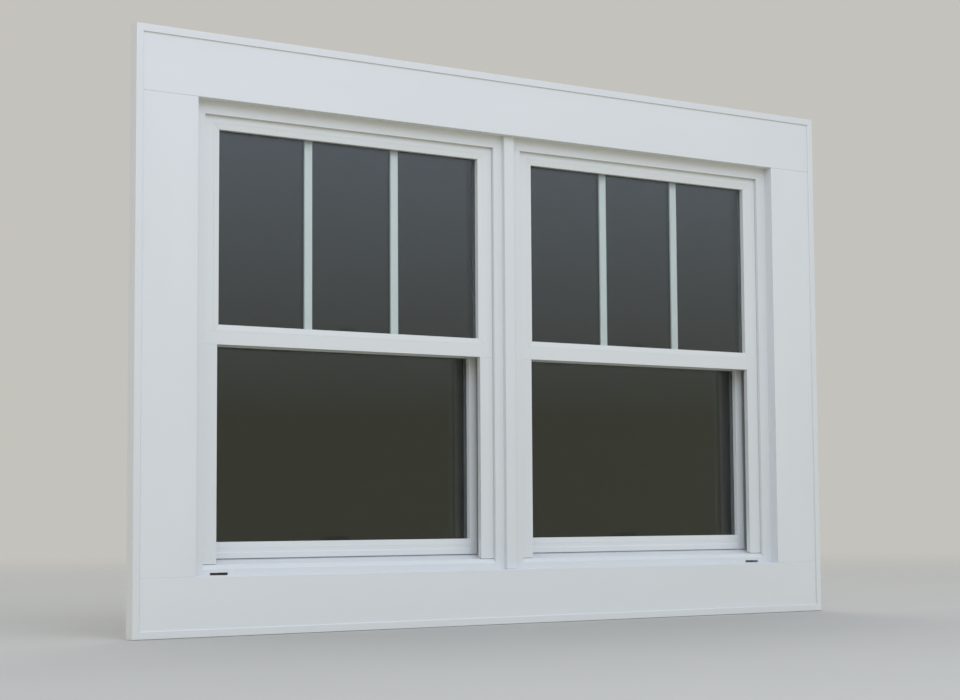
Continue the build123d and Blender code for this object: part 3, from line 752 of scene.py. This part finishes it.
def screw_head(radius: float, depth: float) -> Object:
    """A countersunk head with a cross recess, its rim at the origin and its axis along Z.

    Args:
        radius: The head's radius.
        depth: The recess's depth.

    Returns:
        The head, which isn't in the scene.
    """
    shape = bmesh.new()
    around, rings = 32, []
    reach, slot, under = 0.58 * radius, 0.17 * radius, 0.35 * radius
    for i in range(around):
        angle = 2 * math.pi * i / around
        direction = Vector((math.cos(angle), math.sin(angle), 0))
        x, y = abs(direction.x), abs(direction.y)
        arm = min(slot / max(min(x, y), 1e-6), reach / max(x, y))
        profile = (
            (radius, under),
            (radius, 0.08 * radius),
            (0.93 * radius, 0.0),
            (1.1 * arm, 0.0),
            (arm, 0.1 * depth),
            (0.55 * arm, depth),
        )
        rings.append([shape.verts.new(out * direction - Vector((0, 0, drop))) for out, drop in profile])
    floor = shape.verts.new((0, 0, -depth))
    below = shape.verts.new((0, 0, -under))
    for here, there in zip(rings, rings[1:] + rings[:1]):
        for k in range(len(here) - 1):
            shape.faces.new((here[k], there[k], there[k + 1], here[k + 1]))
        shape.faces.new((here[-1], there[-1], floor))
        shape.faces.new((there[0], here[0], below))
    bmesh.ops.recalc_face_normals(shape, faces=shape.faces)
    return bpy.data.objects.new("screw_head", finished(shape, "screw_head"))


@dataclass
class Casing:
    """Four flat boards round the frame, and the band that caps their outside edge."""

    bench: Bench
    board_ease: Ease = Ease(0.25 * MM)
    band_ease: Ease = Ease(0.3 * MM)

    def build(self) -> None:
        """Dresses the boards and the band."""
        for run, sides in ((Run.ACROSS, ("head", "bottom")), (Run.UP, ("left", "right"))):
            way = run.name.lower()
            board = PaintedBoard(f"painted_board_{way}", "#DCDFE2", "#D6D9DC", run).material()
            band = ExtrudedVinyl(f"band_vinyl_{way}", "#D9DCDF", "#D4D7DA", run).material()
            for side in sides:
                self.bench.eased(f"{side}_casing", f"{side}_board", board, self.board_ease)
                self.bench.eased(f"{side}_back_band", f"{side}_band", band, self.band_ease)


@dataclass
class MainFrame:
    """Head, sill, jambs, mullion with its cover, and the four track covers."""

    bench: Bench
    ease: Ease = Ease(0.4 * MM)
    cover_ease: Ease = Ease(0.3 * MM)

    def build(self) -> None:
        """Dresses the frame's members."""
        level, upright = (
            ExtrudedVinyl(f"frame_vinyl_{run.name.lower()}", "#D9DCDE", "#D3D6D8", run).material()
            for run in (Run.ACROSS, Run.UP)
        )
        for node in ("frame_head", "frame_sill"):
            self.bench.eased(node, f"{node}_member", level, self.ease)
        for node in ("left_frame_jamb", "right_frame_jamb", "mullion_post"):
            self.bench.eased(node, f"{node}_member", upright, self.ease)
        self.bench.eased("mullion_cover", "mullion_cover_strip", upright, self.cover_ease)
        for unit in ("left", "right"):
            for side in ("left", "right"):
                node = f"{unit}_unit_{side}_track_cover"
                self.bench.eased(node, f"{node}_strip", upright, self.ease)


@dataclass
class Glazing:
    """Two panes, their spacer, the bars between them and the beads of one sash."""

    bench: Bench
    prefix: str
    finishes: dict[str, Material]
    glass: dict[str, Material]
    arris: Ease = Ease(0.3 * MM, segments=1)
    bead_ease: Ease = Ease(0.2 * MM)
    hole_pitch: float = 6 * MM
    hole: float = 0.6 * MM
    row_gap: float = 5 * MM
    row_inset: float = 6 * MM

    def build(self, punched: NodeTree) -> None:
        """Dresses one sash's glazing.

        Args:
            punched: The geometry tree of the spacer's holes.
        """
        bench, prefix = self.bench, self.prefix
        for part, side in enumerate(("outer", "inner")):
            bench.eased(f"{prefix}_panes", f"{prefix}_{side}_pane", self.glass[side], self.arris, part)
        beads = f"{prefix}_beads"
        bead = ExtrudedVinyl(f"bead_vinyl_{prefix}", "#DADDDE", "#D5D8D9", weld=Weld(Extent.of(beads)))
        bench.eased(beads, f"{prefix}_bead_strips", bead.material(), self.bead_ease)
        spacer = f"{prefix}_spacer"
        bench.keep(spacer, self.finishes["spacer"])
        extent = Extent.of(spacer)
        rows = grown(
            punched,
            Width=extent.size.x - 2 * self.row_inset,
            Height=extent.size.z - 2 * self.row_inset,
            Pitch=self.hole_pitch,
            Gap=self.row_gap,
            Hole=self.hole,
            Centre=tuple(extent.middle),
            # painted shade: the holes are flat discs whose dark finish stands in for the shade inside
            # punched holes
            Finish=self.finishes["hole"],
        )
        bench.piece(f"{prefix}_spacer_holes", rows, spacer, instead=False)
        if "upper" in prefix:
            bench.keep(f"{prefix}_bars", self.finishes["bar"])


@dataclass
class UnitPart:
    """What the sub-assemblies of one unit share."""

    bench: Bench
    unit: str
    finishes: dict[str, Material]


@dataclass
class Lock(UnitPart):
    """The sweep lock: its plate with two screws, its lever, and the keeper on the upper sash."""

    plate_ease: Ease = Ease(0.25 * MM, 3 * MM)
    lever_ease: Ease = Ease(0.25 * MM, 12 * MM, sharp=34.0)  # its chamfer stays a flat
    keeper_ease: Ease = Ease(0.4 * MM, 2 * MM)
    rim_height: float = 2.45 * MM  # of the screws' rims over the rail, just under the plate's top

    def build(self) -> None:
        """Dresses the lock."""
        enamel, lock = self.finishes["enamel"], f"{self.unit}_lock"
        self.bench.eased(f"{lock}_base", f"{lock}_plate", enamel, self.plate_ease)
        self.bench.eased(f"{lock}_lever", f"{lock}_arm", enamel, self.lever_ease)
        self.bench.eased(f"{lock}_keeper", f"{lock}_catch", enamel, self.keeper_ease)

    def set_screws(self, screws: NodeTree, head: Object) -> None:
        """Sets the plate's two screws.

        Args:
            screws: The geometry tree of the screws.
            head: The screw head that is repeated.
        """
        base = f"{self.unit}_lock_base"
        extent = Extent.of(base)
        x, depth, _ = extent.middle
        apart = (extent.size.x - extent.size.y) / 2
        top = extent.low.z + self.rim_height
        mesh = grown(
            screws,
            Start=(x - apart, depth, top),
            End=(x + apart, depth, top),
            Count=2,
            Head=head,
            Finish=self.finishes["screw"],
        )
        self.bench.piece(f"{self.unit}_lock_screws", mesh, base, instead=False)


@dataclass
class RailFittings(UnitPart):
    """The lift handle, and the two tilt latches with their housings."""

    handle_ease: Ease = Ease(0.8 * MM, 3 * MM, segments=3)
    housing_ease: Ease = Ease(0.25 * MM, 2 * MM)
    bolt_ease: Ease = Ease(0.35 * MM, 2 * MM)

    def build(self) -> None:
        """Dresses the handle, the housings and the bolts."""
        unit, handle, latch = self.unit, self.finishes["handle"], self.finishes["latch"]
        self.bench.eased(f"{unit}_lift_handle", f"{unit}_finger_lift", handle, self.handle_ease)
        self.bench.eased(f"{unit}_latch_housings", f"{unit}_latch_boxes", latch, self.housing_ease)
        for side in ("left", "right"):
            node = f"{unit}_sash_{side}_latch"
            self.bench.eased(node, f"{node}_bolt", latch, self.bolt_ease)


@dataclass
class Balances(UnitPart):
    """The pivot bars, the shoes they stand in, and the twisted strips of the two balances."""

    bar_ease: Ease = Ease(0.5 * MM, 3 * MM)
    shoe_ease: Ease = Ease(0.6 * MM, 3 * MM)
    lead: float = 30 * MM
    thickness: float = 1.3 * MM
    slack: float = 0.2 * MM
    rounding: float = 0.4 * MM
    step: float = 1.5 * MM
    sharp: float = 34.0

    def build(self, strip: NodeTree) -> None:
        """Dresses bars and shoes, and twists the strips.

        Args:
            strip: The geometry tree of a strip.
        """
        bench, unit, fin = self.bench, self.unit, self.finishes
        bench.eased(f"{unit}_pivot_bars", f"{unit}_pivot_bar_pair", fin["zinc"], self.bar_ease)
        bench.eased(f"{unit}_balance_shoes", f"{unit}_balance_shoe_pair", fin["nylon"], self.shoe_ease)
        extent = Extent.of(f"{unit}_balance_rods")
        width, depth = extent.size.y, extent.middle.y
        strips = joined(
            [
                grown(
                    strip,
                    Start=(x, depth, extent.low.z),
                    End=(x, depth, extent.high.z),
                    Lead=self.lead,
                    Width=width - self.slack,
                    Thickness=self.thickness,
                    Step=self.step,
                    Round=self.rounding,
                    Finish=fin["rod"],
                )
                for x in (extent.low.x + width / 2, extent.high.x - width / 2)
            ],
            "strips",
        )
        smooth(strips, self.sharp)
        bench.piece(f"{unit}_twisted_strips", strips, f"{unit}_balance_rods", fin["rod"])


@dataclass
class Weatherstrips(UnitPart):
    """A strip of pile on the outside of each lower stile, and the bulb seal under the lower sash."""

    width: float = 5.5 * MM
    tuft: float = 2.6 * MM
    tuft_thickness: float = 0.55 * MM  # a bundle of fibres, as single ones are too fine to show
    stray: float = 0.3 * MM
    backing: float = 0.8 * MM
    inset: float = 26.2 * MM
    end: float = 3 * MM
    across: int = 6
    along: int = 340

    def build(self, pile: NodeTree) -> None:
        """Sets the strips in the gap between the tracks, and dresses the seal.

        Args:
            pile: The geometry tree of a strip.
        """
        unit, finish, seal = self.unit, self.finishes["pile"], f"{self.unit}_bottom_seal"
        sash = Extent.of(f"{unit}_lower_sash")
        front = Extent.of(f"{unit}_lower_beads").low.y
        strips = joined(
            [
                grown(
                    pile,
                    Width=self.width,
                    Height=sash.size.z - 2 * self.end,
                    Backing=self.backing,
                    Tuft=self.tuft,
                    Thickness=self.tuft_thickness,
                    Stray=self.stray,
                    Across=self.across,
                    Along=self.along,
                    Centre=(x, front - self.backing / 2, sash.middle.z),
                    Finish=finish,
                )
                for x in (sash.low.x + self.inset, sash.high.x - self.inset)
            ],
            "strips",
        )
        self.bench.piece(f"{unit}_pile_strips", strips, seal, finish, instead=False)
        self.bench.keep(seal, self.finishes["rubber"])


@dataclass
class SashUnit(UnitPart):
    """One unit: a fixed upper sash, a sliding lower sash and what each carries."""

    glass: dict[str, Material]
    sash_ease: Ease = Ease(0.5 * MM)

    def sash(self, level: str) -> None:
        """Dresses one welded sash."""
        node = f"{self.unit}_{level}_sash"
        weld = Weld(Extent.of(node))
        vinyl = ExtrudedVinyl(f"sash_vinyl_{self.unit}_{level}", "#DADDDF", "#D5D8DA", weld=weld)
        self.bench.eased(node, f"{node}_ring", vinyl.material(), self.sash_ease)

    def build(self, trees: dict[str, NodeTree], head: Object) -> None:
        """Dresses the whole unit.

        Args:
            trees: The geometry trees by name.
            head: The screw head that is repeated.
        """
        for level in ("upper", "lower"):
            self.sash(level)
            glazing = Glazing(self.bench, f"{self.unit}_{level}", self.finishes, self.glass)
            glazing.build(trees["punched"])
        shared = (self.bench, self.unit, self.finishes)
        lock = Lock(*shared)
        lock.build()
        RailFittings(*shared).build()
        lock.set_screws(trees["screws"], head)
        Balances(*shared).build(trees["strip"])
        Weatherstrips(*shared).build(trees["pile"])


@dataclass(frozen=True)
class Lamp:
    """A round soft lamp that points at the middle of the window."""

    name: str
    place: tuple[float, float, float]
    width: float
    power: float
    tint: str
    target: tuple[float, float, float] = (0, 0, 0.55)

    def hang(self) -> None:
        """Hangs the lamp in the scene."""
        data = bpy.data.lights.new(self.name, "AREA")
        data.shape, data.size, data.energy = "DISK", self.width, self.power
        data.color = linear(self.tint)[:3]
        aim = Vector(self.target) - Vector(self.place)
        turn = aim.to_track_quat("-Z", "Y").to_matrix().to_4x4()
        put(self.name, data).matrix_world = Matrix.Translation(self.place) @ turn


@dataclass
class Studio:
    """A plain pale floor, a plain pale surround, soft light, and the camera of the photograph."""

    place: tuple[float, float, float] = (-2.42970, -3.46767, 0.22640)
    yaw: float = 34.2173
    pitch: float = 4.7731
    roll: float = -0.3599
    lens: float = 74.479
    surround: str = "#C4C2BC"
    far_side: str = "#868779"
    far_top: str = "#D9E6FC"
    light_stops: tuple = ((0.0, "#D8D2C6"), (0.25, "#E9EEF3"), (0.9, "#F6FAFF"))
    floor_shade: str = "#B0AEA8"
    floor_light: str = "#B5B3AD"
    warmth: str = "#BDB69C"
    reach: float = 9.0
    fade_from: float = 1.6
    sky_lamp: Lamp = Lamp("sky_lamp", (-0.9, -3.4, 3.4), 3.6, 76.0, "#DEE9FF")
    room_lamp: Lamp = Lamp("room_lamp", (1.6, 2.4, 4.2), 2.0, 26.0, "#FFFFFF")

    def camera(self) -> None:
        """Sets the camera."""
        data = bpy.data.cameras.new("camera")
        data.lens, data.sensor_width = self.lens, 36.0
        data.clip_start, data.clip_end = 0.05, 100
        camera = put("camera", data)
        turn = (
            Matrix.Rotation(math.radians(-self.yaw), 4, "Z")
            @ Matrix.Rotation(math.radians(90 + self.pitch), 4, "X")
            @ Matrix.Rotation(math.radians(self.roll), 4, "Z")
        )
        camera.matrix_world = Matrix.Translation(self.place) @ turn
        bpy.context.scene.camera = camera

    def floor_paint(self) -> Material:
        """Builds the floor's matt paint, which warms what it throws back and fades at the rim."""
        material, tree = open_material("floor_paint")
        place = add(tree, "ShaderNodeTexCoord").outputs["Object"]
        away = add(tree, "ShaderNodeVectorMath", {0: place}, operation="LENGTH").outputs["Value"]
        fade = add(
            tree,
            "ShaderNodeMapRange",
            {"Value": away, "From Min": self.fade_from, "From Max": 0.95 * self.reach},
            interpolation_type="SMOOTHSTEP",
        )
        grain = add(tree, "ShaderNodeTexNoise", {"Vector": place, "Scale": 3.0, "Detail": 4.0})
        tones = {"Factor": grain, MIX_FROM: linear(self.floor_shade), MIX_TO: linear(self.floor_light)}
        colour = add(tree, "ShaderNodeMix", tones, data_type="RGBA").outputs[MIXED]
        thrown = {
            "Factor": add(tree, "ShaderNodeLightPath").outputs["Is Diffuse Ray"],
            MIX_FROM: colour,
            MIX_TO: linear(self.warmth),
        }
        colour = add(tree, "ShaderNodeMix", thrown, data_type="RGBA").outputs[MIXED]
        paint = add(tree, "ShaderNodeBsdfPrincipled", {"Base Color": colour, "Roughness": 0.85})
        clear = add(tree, "ShaderNodeBsdfTransparent")
        shown = add(tree, "ShaderNodeMixShader", {0: fade, 1: paint, 2: clear})
        add(tree, "ShaderNodeOutputMaterial", {"Surface": shown})
        return material

    def floor(self) -> None:
        """Lays a round floor just under the casing."""
        shape = bmesh.new()
        bmesh.ops.create_circle(shape, cap_ends=True, segments=96, radius=self.reach)
        mesh = finished(shape, "floor")
        mesh.materials.append(self.floor_paint())
        floor = put("floor", mesh)
        floor.location.z = -0.5 * MM

    def world(self) -> None:
        """Lights the window from all round, more from above, inside one plain pale room.

        The camera, metal and glass see the room itself, not the light: one pale tone all round, to
        which glass and metal add a deeper one at eye level before the window, as by open ground.
        """
        world = bpy.data.worlds.new("room")
        bpy.context.scene.world = world
        world.use_nodes = True
        tree = world.node_tree
        tree.nodes.clear()
        way = add(tree, "ShaderNodeSeparateXYZ", {0: add(tree, "ShaderNodeTexCoord").outputs["Generated"]})
        light = self.ramp(tree, way.outputs["Z"], self.light_stops)
        ahead = self.ramp(tree, way.outputs["Z"], ((0.05, self.far_side), (0.2, self.far_top)))
        side = add(
            tree,
            "ShaderNodeMapRange",
            {"Value": way.outputs["Y"], "From Min": -0.45, "From Max": 0.45},
            interpolation_type="SMOOTHSTEP",
        )
        ray = add(tree, "ShaderNodeLightPath").outputs
        plain = add(tree, "ShaderNodeMath", {0: side, 1: ray["Is Camera Ray"]}, operation="MAXIMUM")
        tones = {"Factor": plain, MIX_FROM: ahead, MIX_TO: linear(self.surround)}
        room = add(tree, "ShaderNodeMix", tones, data_type="RGBA").outputs[MIXED]
        seen = ray["Is Camera Ray"]
        for kind in ("Is Glossy Ray", "Is Transmission Ray"):
            seen = add(tree, "ShaderNodeMath", {0: seen, 1: ray[kind]}, operation="MAXIMUM")
        direct = add(tree, "ShaderNodeMath", {0: ray["Diffuse Depth"], 1: 0.5}, operation="LESS_THAN")
        seen = add(tree, "ShaderNodeMath", {0: seen, 1: direct}, operation="MULTIPLY")
        tones = {"Factor": seen, MIX_FROM: light, MIX_TO: room}
        colour = add(tree, "ShaderNodeMix", tones, data_type="RGBA").outputs[MIXED]
        back = add(tree, "ShaderNodeBackground", {"Color": colour, "Strength": 1.0})
        add(tree, "ShaderNodeOutputWorld", {"Surface": back})

    @staticmethod
    def ramp(tree: NodeTree, height: NodeSocket, stops: tuple[tuple[float, str], ...]) -> NodeSocket:
        """Adds colours that change with height.

        Args:
            tree: The tree that gets them.
            height: The value that runs along the colours.
            stops: Each stop's place and hex colour, in order.

        Returns:
            The colour.
        """
        node = add(tree, "ShaderNodeValToRGB", {0: height})
        elements = node.color_ramp.elements
        while len(elements) < len(stops):
            elements.new(1.0)
        for element, (place, colour) in zip(elements, stops):
            element.position, element.color = place, linear(colour)
        return node.outputs[0]

    def build(self) -> None:
        """Sets up everything round the window."""
        self.camera()
        self.floor()
        self.world()
        self.sky_lamp.hang()
        self.room_lamp.hang()
        bpy.context.scene.view_settings.view_transform = "Standard"


def hardware_finishes() -> dict[str, Material]:
    """The finishes of the small pieces, by name, with grains coarser than real so that they show."""
    up = Run.UP
    rows = {
        # sprayed enamel: smooth and evenly white, with a soft gloss
        "bar": Moulding("bar_enamel", "#E2E4E0", "#DADCD8", 1.6 * MM, 0.34, coat=0.2),
        "enamel": Moulding(
            "hardware_enamel", "#E2E4E2", "#DEE0DE", 2.5 * MM, 0.3, 0.03, 0.015 * MM, coat=0.35
        ),
        # injection moulded: the tool's faint texture, duller on the waxy acetal and the nylon
        "handle": Moulding("moulded_abs", "#E2E3E1", "#DADBD9", 0.9 * MM, 0.36),
        "latch": Moulding("moulded_acetal", "#DFE0DE", "#D5D6D4", 0.8 * MM, 0.45),
        "nylon": Moulding("moulded_nylon", "#4A4C4E", "#3C3E40", 0.9 * MM, 0.48),
        # rolled metal: fine lines along the strip and a broken sheen
        "spacer": Moulding("rolled_aluminium", "#D2D4D5", "#C0C2C3", 1.5 * MM, 0.55, metallic=1.0, run=up),
        "rod": Moulding("rolled_steel", "#9FA09E", "#7F807E", 1.2 * MM, 0.36, metallic=1.0, run=up),
        # the bare casting is grey and cloudy, the plating brighter and even
        "zinc": Moulding("cast_zinc", "#A9ABAC", "#8D8F90", 1.4 * MM, 0.42, metallic=1.0),
        "screw": Moulding(
            "plated_steel", "#B9BBBC", "#B0B2B3", 2 * MM, 0.34, 0.02, 0.003 * MM, metallic=1.0
        ),
        # painted shade: the holes are flat dark dots that stand in for the shade inside them
        "hole": Moulding("painted_hole_shade", "#2A2B2C", "#1C1D1E", 0.5 * MM, 0.8),
        # soft and matt: the seal's skin, and the pile, whose tufts differ a little in tone
        "rubber": Moulding("bulb_rubber", "#C2C3C1", "#B2B3B1", 1.5 * MM, 0.72),
        "pile": Moulding("woven_pile", "#C6C7C7", "#ADAEAE", 0.8 * MM, 0.9),
        # drawn through a die: satin, with faint lines along the tube
        "tube": Moulding("drawn_vinyl_tube", "#D8D8D3", "#CACAC5", 1.4 * MM, 0.45, run=up),
    }
    return {key: finish.material() for key, finish in rows.items()}


def main() -> None:
    """Builds the window's looks and the studio round it."""
    logging.basicConfig(level=logging.INFO, format="%(name)s %(message)s")
    bench = Bench()
    finishes = hardware_finishes()
    glass = {
        "outer": FloatGlass("float_glass_clear", tint="#F6F9F6", passes="#EEF2EF").material(),
        # painted shade: the inner pane's dark tint, and the dimmed lamp light it lets through, stand in for
        # the dark room behind the window
        "inner": FloatGlass("float_glass_painted_dark", tint="#2E2F2A", passes="#3A3C38").material(),
    }
    trees = {
        "punched": punched_rows_tree(),
        "strip": twisted_strip_tree(),
        "screws": screws_tree(),
        "pile": pile_tree(),
    }
    head = screw_head(3.3 * MM, 1.6 * MM)
    Casing(bench).build()
    MainFrame(bench).build()
    for unit in ("left", "right"):
        SashUnit(bench, unit, finishes, glass).build(trees, head)
    bench.keep("balance_tubes", finishes["tube"])
    bpy.data.objects.remove(head)
    Studio().build()
    log.info("%d pieces made", bench.made)


if __name__ == "__main__":
    main()
